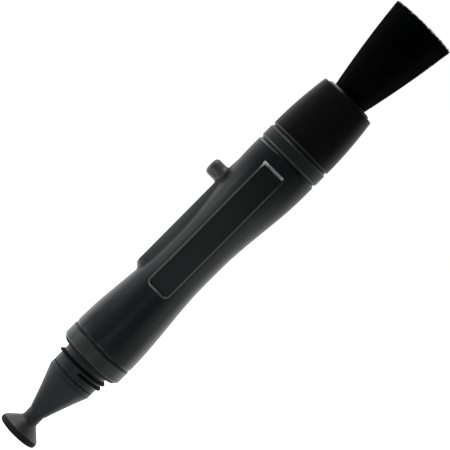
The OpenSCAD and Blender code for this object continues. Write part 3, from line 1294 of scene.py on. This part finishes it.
@dataclass
class EndTrim:
    """The trim rings at both ends of the grip and the collar round the brush."""

    barrel: Barrel
    tip: Span = spanned("tip_trim_ring")
    band: Span = spanned("brush_trim_ring")
    collar: Span = spanned("brush_collar")
    tip_face: float = 0.15 * MM
    tip_edge: float = 0.95 * MM
    tip_drop: float = 0.75 * MM
    tip_soft: float = 0.3 * MM
    # Painted shade on the tip ring's chamfer.
    tip_shade: float = 0.85
    joint_depth: float = 0.2 * MM
    neck_bore: float = 4.78 * MM
    mouth_radius: float = 5.6 * MM
    lip_edge: float = 0.2 * MM
    soft: float = 0.15 * MM
    # Painted highlights on the ring edges, a little painted light in the groove bottoms against
    # their shade, and on the joint edge.
    painted_highlight: float = 0.5
    highlight_deep: float = 0.06
    highlight_joint: float = 0.1
    score: float = 0.11 * MM
    score_inset: float = 0.25 * MM
    # Painted shade in the scored line.
    score_shade: float = 0.9
    side_steps: int = 24

    def _tip_ring(self) -> Shape:
        """Makes the ring that a cap seats against, chamfered and with a scored line.

        Returns:
            The ring's shape.
        """
        face, end, radius = self.tip.start + self.tip_face, self.tip.end, self.tip.radius
        rim, line = self.tip.start + self.tip_edge, end - self.score_inset
        bore = self.barrel.plug_bore
        return Lathe.turn(
            [
                Corner(face, bore),
                # Painted shade on the chamfer and in the scored line, and a painted highlight on
                # the rim.
                Corner(face, radius - self.tip_drop, painted_shade=self.tip_shade),
                Corner(rim - self.tip_soft, radius - self.tip_soft, painted_shade=self.tip_shade),
                Corner(rim, radius, self.tip_soft / 2.0, self.highlight_joint),
                Corner(line - self.score, radius),
                Corner(line, radius - self.score, painted_shade=self.score_shade),
                Corner(line + self.score, radius),
                Corner(end, radius - self.joint_depth),
                Corner(end, bore),
            ]
        )

    def _band(self) -> Shape:
        """Makes the narrow ring between the two grooves.

        Returns:
            The ring's shape.
        """
        start, end, radius = self.band.start, self.band.end, self.band.radius
        edge, low = self.barrel.groove_edge, radius - self.barrel.groove_depth
        return Lathe.turn(
            [
                Corner(start, self.neck_bore),
                # The edges carry painted highlights, and the groove bottoms a little painted light.
                Corner(start, low, painted_highlight=self.highlight_deep),
                Corner(start + edge, radius, self.soft, self.painted_highlight),
                Corner(end - edge, radius, self.soft, self.painted_highlight),
                Corner(end, low, painted_highlight=self.highlight_deep),
                Corner(end, self.neck_bore),
            ]
        )

    def _collar(self) -> Shape:
        """Makes the collar, whose side is one long arc.

        Returns:
            The collar's shape.
        """
        start, end, radius = self.collar.start, self.collar.end, self.collar.radius
        begin = start + self.barrel.groove_edge
        run, drop = end - begin, radius - self.mouth_radius
        arc = (run * run + drop * drop) / (2.0 * drop)
        side = [
            Corner(begin + step, radius - arc + math.sqrt(arc * arc - step * step))
            for step in graded(0.0, (run, self.side_steps))
        ]
        # The collar's front edge carries a painted highlight.
        side[0] = Corner(side[0].x, side[0].r, self.soft, self.painted_highlight)
        side[-1] = Corner(side[-1].x, side[-1].r, self.lip_edge)
        return Lathe.turn(
            [
                Corner(start, self.neck_bore),
                # The groove bottom carries a little painted light.
                Corner(start, radius - self.barrel.groove_depth, painted_highlight=self.highlight_deep),
                *side,
                Corner(end, self.neck_bore),
            ]
        )

    def build(self) -> None:
        """Makes both rings and the collar."""
        finished(self._tip_ring(), "tip_ring", TRIM_GREY, stands_for=["tip_trim_ring"])
        finished(self._band(), "brush_ring", SHADED_TRIM_GREY, stands_for=["brush_trim_ring"])
        finished(self._collar(), "mouth_collar", COLLAR_BLACK, stands_for=["brush_collar"])


@dataclass
class Nose:
    """The spigot with its thread ridge, and the cone in front of it."""

    spigot: Span = spanned("nose_spigot")
    cone: Span = spanned("nose_cone")
    bore: float = 3.03 * MM
    plug_radius: float = 4.3 * MM
    seam: float = 0.1 * MM
    seam_depth: float = 0.3 * MM
    seam_soft: float = 0.04 * MM
    cone_rim: float = 1.13 * MM
    cone_end: float = 1.69 * MM
    cone_sag: float = 0.08 * MM
    cone_lip: float = 0.072 * MM
    cone_shoulder: float = 0.24 * MM
    cone_stem: float = 3.0 * MM
    cone_steps: int = 10
    shank_bore: float = 1.23 * MM
    shank_depth: float = 7.0 * MM
    thread_pitch: float = 1.08 * MM
    thread_crest: float = 5.12 * MM
    thread_crest_half: float = 0.09 * MM
    thread_sink: float = 0.05 * MM
    thread_rise: float = 0.3 * MM
    thread_fall: float = 0.6 * MM
    thread_start: float = -2.56 * MM
    thread_from: float = math.radians(97.0)
    thread_sweep: float = math.radians(520.0)
    thread_fade: float = math.radians(40.0)
    thread_steps: int = 150

    def _spigot(self) -> Shape:
        """Makes the spigot and its plug.

        Returns:
            The spigot's shape.
        """
        start, radius = self.spigot.start, self.spigot.radius
        return Lathe.turn(
            [
                Corner(start, self.bore),
                Corner(start, radius - self.seam_depth),
                Corner(start + self.seam, radius, self.seam_soft),
                Corner(0.0, radius),
                Corner(0.0, self.plug_radius),
                Corner(self.spigot.end, self.plug_radius),
                Corner(self.spigot.end, self.bore),
            ]
        )

    def _thread(self) -> Shape:
        """Makes the thread ridge: a small section spun along a helix, fading at both ends.

        Returns:
            The ridge's shape.
        """
        shape = bmesh.new()
        root = self.spigot.radius - self.thread_sink
        height = self.thread_crest - root
        section = [
            Vector((self.thread_start - self.thread_rise, root, 0.0)),
            Vector((self.thread_start - self.thread_crest_half, self.thread_crest, 0.0)),
            Vector((self.thread_start + self.thread_crest_half, self.thread_crest, 0.0)),
            Vector((self.thread_start + self.thread_fall, root, 0.0)),
        ]
        # The flank that faces the brush end carries painted shade.
        shade_of = shape.verts.layers.float.new(PAINTED_SHADE)
        verts = [shape.verts.new(point) for point in section]
        for vert in verts[2:]:
            vert[shade_of] = 1.0
        shape.faces.new(verts)
        turned = Matrix.Rotation(self.thread_from, 3, "X")
        bmesh.ops.rotate(shape, verts=verts, cent=CENTRE, matrix=turned)
        climb = self.thread_pitch * self.thread_sweep / math.tau
        bmesh.ops.spin(
            shape,
            geom=shape.faces[:],
            cent=CENTRE,
            axis=AXIS,
            dvec=AXIS * climb / self.thread_steps,
            angle=self.thread_sweep,
            steps=self.thread_steps,
        )
        for vert in shape.verts:
            radius = math.hypot(vert.co.y, vert.co.z)
            swept = (vert.co.x - self.thread_start) / climb * self.thread_sweep
            end = min(swept, self.thread_sweep - swept) / self.thread_fade
            low = root + (radius - root) * smooth(end)
            if radius - root > height / 2.0:
                vert.co.y *= low / radius
                vert.co.z *= low / radius
        return shape

    def _cone(self) -> Shape:
        """Makes the cone, a little hollow along its side, with its stem in the spigot.

        Returns:
            The cone's shape.
        """
        start, end = self.cone.start, self.cone.end
        foot, radius = self.spigot.start, self.spigot.radius
        run, rise = foot - self.cone_rim - start, radius - self.cone_end
        side = [
            Corner(
                start + run * share,
                self.cone_end + rise * share - 4.0 * self.cone_sag * share * (1.0 - share),
            )
            for share in graded(0.0, (1.0, self.cone_steps))
        ]
        side[0] = Corner(side[0].x, side[0].r, self.cone_lip)
        side[-1] = Corner(side[-1].x, side[-1].r, self.cone_shoulder)
        return Lathe.turn(
            [
                Corner(start + self.shank_depth, 0.0),
                Corner(start + self.shank_depth, self.shank_bore),
                Corner(start, self.shank_bore),
                *side,
                Corner(foot - self.seam, radius, self.seam_soft),
                Corner(foot, radius - self.seam_depth),
                Corner(foot, self.cone_stem),
                Corner(end, self.cone_stem),
                Corner(end, 0.0),
            ],
            closed=False,
        )

    def build(self) -> None:
        """Makes the spigot, its thread and the cone."""
        finished(self._spigot(), "nose_base", NOSE_SLATE, stands_for=["nose_spigot"])
        finished(self._thread(), "cap_thread", NOSE_SLATE)
        finished(self._cone(), "nose_taper", NOSE_SLATE, stands_for=["nose_cone"])


@dataclass
class CleaningTip:
    """The rubber stem and bell, and the suede pad on it."""

    nose: Nose
    tip: Span = spanned("flexible_tip")
    pad: Span = spanned("cleaning_pad")
    stem_radius: float = 1.6 * MM
    shank_radius: float = 1.2 * MM
    shank_soft: float = 0.12 * MM
    bell_length: float = 2.06 * MM
    bell_rim: float = 0.12 * MM
    bell_soft: float = 0.048 * MM
    throat: float = 0.8 * MM
    pad_round: float = 0.38 * MM
    pad_flat: float = 0.85
    pad_rings: int = 10
    nap_depth: float = 0.025 * MM
    nap_seed: int = 11

    def _stem(self) -> Shape:
        """Makes the stem, its shank in the nose and the bell behind the pad.

        Returns:
            The stem's shape.
        """
        rim, radius = self.tip.start, self.tip.radius
        neck, mouth = rim + self.bell_rim, self.nose.cone.start
        end = mouth + self.nose.shank_depth
        return Lathe.turn(
            [
                Corner(rim, 0.0),
                Corner(rim, radius, self.bell_soft),
                Corner(neck, radius, self.bell_soft),
                Corner(neck + self.bell_length, self.stem_radius, self.throat),
                Corner(mouth, self.stem_radius),
                Corner(mouth, self.shank_radius),
                Corner(end, self.shank_radius, self.shank_soft),
                Corner(end, 0.0),
            ],
            closed=False,
        )

    def _pad(self) -> Shape:
        """Makes the pad: a soft disc whose skin is a little uneven.

        Returns:
            The pad's shape.
        """
        back, front, radius = self.pad.end, self.pad.start, self.pad.radius
        draw = random.Random(self.nap_seed)
        flat = radius * self.pad_flat
        rings = [Corner(front, place) for place in graded(0.0, (flat, self.pad_rings))]
        shape = Lathe.turn(
            [
                *rings,
                Corner(front, radius, self.pad_round),
                Corner(back, radius, self.pad_round),
                Corner(back, 0.0),
            ],
            closed=False,
        )
        bmesh.ops.remove_doubles(shape, verts=shape.verts, dist=MERGE)
        middle = Vector(((front + back) / 2.0, 0.0, 0.0))
        for vert in shape.verts:
            vert.co += (middle - vert.co).normalized() * draw.uniform(0.0, self.nap_depth)
        return shape

    def build(self) -> None:
        """Makes the stem and the pad."""
        finished(self._stem(), "tip_stem", TIP_RUBBER, stands_for=["flexible_tip"])
        pad = finished(self._pad(), "suede_pad", PAD_SUEDE, stands_for=["cleaning_pad"])


@dataclass
class Slider:
    """The round thumb knob with its foot and tongue, and the runner inside."""

    barrel: Barrel
    box: tuple[Vector, Vector] = field(default_factory=lambda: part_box("slider_knob"))
    height: float = 2.74 * MM
    foot_flare: float = 0.15 * MM
    foot_rise: float = 0.45 * MM
    foot_edge: float = 0.06 * MM
    foot_soft: float = 0.02 * MM
    # Painted shade on the knob's foot, where it hangs over the spine.
    foot_shade: float = 0.6
    foot_rings: int = 8
    drape: float = 0.9
    neck_soft: float = 1.2 * MM
    rounding: float = 0.8 * MM
    tongue_length: float = 2.4 * MM
    tongue_half: float = 0.9 * MM

    def __post_init__(self) -> None:
        """Works out the knob's middle and the height of its foot."""
        low, high = self.box
        self.middle = (low.x + high.x) / 2.0
        self.foot = high.y - self.height

    def _knob(self) -> Shape:
        """Makes the knob: a post turned on end, whose flared foot hangs over the spine and carries
        painted shade.

        Returns:
            The knob's shape.
        """
        low, high = self.box
        foot_radius = (high.x - low.x) / 2.0
        edge, radius = self.foot + self.foot_edge, foot_radius - self.foot_flare
        under = [
            Corner(self.foot, foot_radius * ring / self.foot_rings)
            for ring in range(self.foot_rings)
        ]
        shape = Lathe.turn(
            [
                *under,
                # The foot's rim carries painted shade.
                Corner(self.foot, foot_radius, self.foot_soft, painted_shade=self.foot_shade),
                Corner(edge, foot_radius, self.foot_soft, painted_shade=self.foot_shade),
                Corner(edge + self.foot_rise, radius, self.neck_soft),
                Corner(high.y, radius, self.rounding),
                Corner(high.y, 0.0),
            ],
            closed=False,
        )
        upright = Matrix.Rotation(math.pi / 2.0, 3, "Z")
        bmesh.ops.rotate(shape, verts=shape.verts, cent=CENTRE, matrix=upright)
        bmesh.ops.translate(shape, verts=shape.verts, vec=AXIS * self.middle)
        for vert in shape.verts:
            hold = 1.0 - smooth((vert.co.y - edge) / self.foot_rise)
            vert.co.y -= self.drape * self.barrel.spine_fall(vert.co.z) * hold
        return shape

    def _tongue(self) -> Shape:
        """Makes the tongue between the knob's foot and the runner.

        Returns:
            The tongue's shape.
        """
        low = self.box[0].y
        size = Vector((self.tongue_length, self.foot - low, 2.0 * self.tongue_half))
        place = Vector((self.middle, (low + self.foot) / 2.0, 0.0))
        shape = bmesh.new()
        bmesh.ops.create_cube(shape, size=1.0)
        bmesh.ops.scale(shape, verts=shape.verts, vec=size)
        bmesh.ops.translate(shape, verts=shape.verts, vec=place)
        eased(shape, shape.edges[:], self.foot_edge)
        return shape

    def build(self, nodes: dict[str, bpy.types.Object]) -> None:
        """Makes the knob and its tongue and dresses the runner inside.

        Args:
            nodes: The objects of the frame's nodes.
        """
        finished(self._knob(), "thumb_knob", KNOB_BLACK, Body.SLIDER, ["slider_knob"])
        finished(self._tongue(), "knob_tongue", KNOB_BLACK, Body.SLIDER, ["slider_knob"])
        for node, finish in (
            ("brush_carriage", CARRIAGE_GREY),
            ("hair_root", ROOT_RESIN),
            ("brush_ferrule", FERRULE_METAL),
        ):
            nodes[node].data.materials.clear()
            nodes[node].data.materials.append(finish.material())
            LOG.info("%s: frame shape, %s", node, finish.name)


@dataclass
class Brush:
    """The flared tuft: locks of fine hair."""

    tuft: Span = spanned("brush_tuft")
    root_radius: float = 3.2 * MM
    tip_radius: float = 6.45 * MM
    bulge: float = 0.29
    lean: float = 0.34 * MM
    lift: float = 0.1 * MM
    ragged: float = 0.4 * MM
    hair_radius: float = 0.042 * MM
    hair_taper: float = 0.45
    wander: float = 0.12 * MM
    locks: int = 12
    hairs: int = 460
    points: int = 7
    keep: float = 0.5
    seed: int = 23

    def _spread(self, share: float) -> float:
        """Returns the radius of the tuft at a share of its length."""
        flare = (1.0 + self.bulge) * share - self.bulge * share * share
        return self.root_radius + (self.tip_radius - self.root_radius) * flare

    def _hair(self, draw: random.Random, angle: float, depth: float) -> list[Vector]:
        """Grows one hair.

        Args:
            draw: The source of its unevenness.
            angle: Its angle round the tuft.
            depth: Its share of the tuft's radius.

        Returns:
            The points along it.
        """
        start = self.tuft.start
        end = self.tuft.end - self.hair_radius - self.ragged * draw.random() ** 2
        sway = Vector((0.0, draw.gauss(0.0, self.wander), draw.gauss(0.0, self.wander)))
        bow = Vector((0.0, draw.gauss(0.0, self.wander), draw.gauss(0.0, self.wander)))
        hair: list[Vector] = []
        for step in range(self.points):
            share = step / (self.points - 1)
            limit = self._spread(share)
            around = Vector((0.0, math.cos(angle), math.sin(angle))) * limit * depth
            around += sway * share * share + bow * math.sin(math.pi * share)
            around *= min(1.0, limit / max(around.length, MERGE))
            around.x = start + (end - start) * share
            around.y += self.lift - self.lean * share
            hair.append(around)
        return hair

    def _lock(self, index: int, draw: random.Random) -> bpy.types.Mesh:
        """Grows one lock of hair.

        Args:
            index: Which lock round the tuft.
            draw: The source of its unevenness.

        Returns:
            The lock's mesh.
        """
        name = f"hair_lock_{index:02d}"
        curve = bpy.data.curves.new(name, "CURVE")
        curve.dimensions = "3D"
        curve.bevel_depth = self.hair_radius
        curve.bevel_resolution = 0
        curve.use_fill_caps = True
        for hair in range(self.hairs):
            depth = math.sqrt((hair + draw.random()) / self.hairs)
            angle = math.tau * (index + draw.random()) / self.locks
            line = self._hair(draw, angle, depth)
            spline = curve.splines.new("POLY")
            spline.points.add(len(line) - 1)
            for step, (point, place) in enumerate(zip(spline.points, line)):
                point.co = (*place, 1.0)
                point.radius = 1.0 - (1.0 - self.hair_taper) * step / (len(line) - 1)
        grown = linked(name, curve)
        scene_now = bpy.context.evaluated_depsgraph_get()
        mesh = bpy.data.meshes.new_from_object(grown.evaluated_get(scene_now))
        bpy.data.objects.remove(grown)
        bpy.data.curves.remove(curve)
        mesh.name = name
        mesh.materials.clear()
        mesh.shade_smooth()
        return mesh

    def build(self) -> None:
        """Grows every lock."""
        draw = random.Random(self.seed)
        for index in range(self.locks):
            mesh = self._lock(index, draw)
            lock = dressed(mesh, mesh.name, HAIR_BLACK, Body.SLIDER, ["brush_tuft"])
            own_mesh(lock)


@dataclass(frozen=True)
class Softbox:
    """An oblong lamp: where it hangs, what it faces, its size, power and spread in degrees."""

    name: str
    place: Vector
    target: Vector
    length: float
    height: float
    power: float
    spread: float = 180.0


@dataclass(frozen=True)
class Strip:
    """A lamp that stands beside the pen: its side, middle, length, height and brightness."""

    name: str
    side: float
    middle: float
    length: float
    height: float
    level: float

    def softbox(self, distance: float) -> Softbox:
        """Stands the lamp beside the pen.

        Args:
            distance: How far it is from the pen's axis.

        Returns:
            The lamp.
        """
        place = Vector((self.middle, self.side * distance, self.height / 2.0))
        power = self.level * math.pi * self.length * self.height
        return Softbox(self.name, place, AXIS * self.middle, self.length, self.height, power)


@dataclass
class Studio:
    """The white table, the soft light and the camera."""

    stand: Vector = field(default_factory=lambda: mm(51.2, -17.0, 355.0))
    aim: Vector = field(default_factory=lambda: mm(34.115, -0.13, 0.0))
    frame_width: float = 79.29 * MM
    roll: float = math.radians(45.06)
    clip_near: float = 0.01
    clip_far: float = 20.0
    table_size: float = 4.0
    table_cells: int = 8
    table_drop: float = 6.5 * MM
    table_near: float = 1.83
    table_far: float = 1.0
    fade_from: float = 22.0 * MM
    fade_to: float = 46.0 * MM
    table_aside: float = 0.25
    aside_from: float = -10.0 * MM
    aside_to: float = 30.0 * MM
    table_dim: float = 0.22
    lit_reach: float = 60.0 * MM
    dim_reach: float = 100.0 * MM
    room_level: float = 0.13
    lamps: tuple[Softbox, ...] = (
        Softbox("tip_lamp", mm(-130, 0, 205), CENTRE, 60.0 * MM, 400.0 * MM, 0.021, 28.0),
        Softbox("grip_lamp", mm(8, 12, 300), mm(8, 0, 0), 60.0 * MM, 400.0 * MM, 0.0018, 10.0),
        Softbox("bell_lamp", mm(60, 49, 12), mm(-16, 0, 2), 40.0 * MM, 24.0 * MM, 0.001, 20.0),
        Softbox("end_panel", mm(150, 75, 25), mm(20, 0, 3), 80.0 * MM, 50.0 * MM, 0.055),
        Softbox("nose_near", mm(-113, -87, 63), mm(-8, 0, 0), 120.0 * MM, 140.0 * MM, 0.006, 40.0),
        Softbox("nose_far", mm(-113, 87, 63), mm(-8, 0, 0), 120.0 * MM, 140.0 * MM, 0.006, 40.0),
    )
    side_distance: float = 90.0 * MM
    strips: tuple[Strip, ...] = (
        Strip("tip_strip_near", -1.0, -20.0 * MM, 20.0 * MM, 76.0 * MM, 0.93),
        Strip("tip_strip_far", 1.0, -20.0 * MM, 20.0 * MM, 76.0 * MM, 0.93),
        Strip("waist_strip_near", -1.0, 20.0 * MM, 20.0 * MM, 76.0 * MM, 1.15),
        Strip("waist_strip_far", 1.0, 20.0 * MM, 20.0 * MM, 76.0 * MM, 1.15),
        Strip("tip_foot_near", -1.0, -20.0 * MM, 20.0 * MM, 27.0 * MM, 1.07),
        Strip("tip_foot_far", 1.0, -36.0 * MM, 50.0 * MM, 27.0 * MM, 4.3),
        Strip("waist_foot_near", -1.0, 20.0 * MM, 20.0 * MM, 27.0 * MM, 1.1),
        Strip("waist_foot_far", 1.0, 25.0 * MM, 10.0 * MM, 27.0 * MM, 4.5),
        Strip("brush_foot_far", 1.0, 65.0 * MM, 30.0 * MM, 27.0 * MM, 0.9),
    )

    def _camera(self) -> None:
        """Sets the camera over the pen, turned so that the pen lies across the picture."""
        away = self.stand - self.aim
        lens = bpy.data.cameras.new("camera")
        lens.sensor_fit = "HORIZONTAL"
        lens.angle = 2.0 * math.atan(self.frame_width / 2.0 / away.length)
        lens.clip_start, lens.clip_end = self.clip_near, self.clip_far
        camera = linked("camera", lens)
        back = away.normalized()
        along = (AXIS - back * AXIS.dot(back)).normalized()
        aside = back.cross(along)
        turned = Matrix((along, aside, back)).transposed() @ Matrix.Rotation(-self.roll, 3, "Z")
        camera.matrix_world = Matrix.Translation(self.stand) @ turned.to_4x4()
        bpy.context.scene.camera = camera

    def _table(self) -> None:
        """Lays the glowing white table, brighter beside the tip and dim out of sight."""
        shape, cells = bmesh.new(), self.table_cells
        bmesh.ops.create_grid(shape, x_segments=cells, y_segments=cells, size=self.table_size / 2.0)
        bmesh.ops.translate(shape, verts=shape.verts, vec=(0.0, 0.0, -self.table_drop))
        mesh = bpy.data.meshes.new("table")
        shape.to_mesh(mesh)
        shape.free()
        bench, made = Bench.material("white_table")
        share = bench.along("X").step(self.fade_from, self.fade_to)
        level = self.table_near + (self.table_far - self.table_near) * share
        level = level + self.table_aside * bench.along("Y").step(self.aside_from, self.aside_to)
        reach = (bench.along("X") - self.aim.x).size() + bench.along("Y").size()
        level = level + (self.table_dim - level) * reach.step(self.lit_reach, self.dim_reach)
        glow = bench.node("ShaderNodeEmission", {}, {"Color": grey(1.0), "Strength": level})
        bench.node("ShaderNodeOutputMaterial", {}, {"Surface": glow})
        mesh.materials.append(made)
        table = linked("table", mesh)

    @staticmethod
    def _hang(lamp: Softbox) -> None:
        """Hangs one soft oblong lamp.

        Args:
            lamp: The lamp.
        """
        light = bpy.data.lights.new(lamp.name, "AREA")
        light.shape = "RECTANGLE"
        light.size, light.size_y = lamp.length, lamp.height
        light.spread = math.radians(lamp.spread)
        light.energy = lamp.power
        hung = linked(lamp.name, light)
        back = (lamp.place - lamp.target).normalized()
        across = back.cross(AXIS).normalized()
        turned = Matrix((across.cross(back), across, back)).transposed()
        hung.matrix_world = Matrix.Translation(lamp.place) @ turned.to_4x4()

    def _sky(self) -> None:
        """Gives the room a faint even light."""
        world = bpy.data.worlds.new("room")
        bpy.context.scene.world = world
        world.use_nodes = True
        bench = Bench(world.node_tree)
        room = bench.node("ShaderNodeBackground", {}, {"Color": grey(self.room_level)})
        bench.node("ShaderNodeOutputWorld", {}, {"Surface": room})

    def build(self) -> None:
        """Sets up everything round the pen."""
        self._camera()
        self._table()
        self._sky()
        for lamp in (*self.lamps, *(strip.softbox(self.side_distance) for strip in self.strips)):
            self._hang(lamp)
        bpy.context.scene.view_settings.view_transform = "Standard"


def main() -> None:
    """Builds the pen round the frame."""
    logging.basicConfig(level=logging.INFO, format="%(name)s %(message)s")
    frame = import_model()
    Studio().build()
    slide = next(joint for joint in frame["joints"] if joint["name"] == "brush_slide")
    barrel, nose = Barrel(travel=abs(slide["range_m"][0])), Nose()
    barrel.build()
    EndTrim(barrel).build()
    nose.build()
    CleaningTip(nose).build()
    Slider(barrel).build(frame["nodes"])
    Brush().build()


if __name__ == "__main__":
    main()
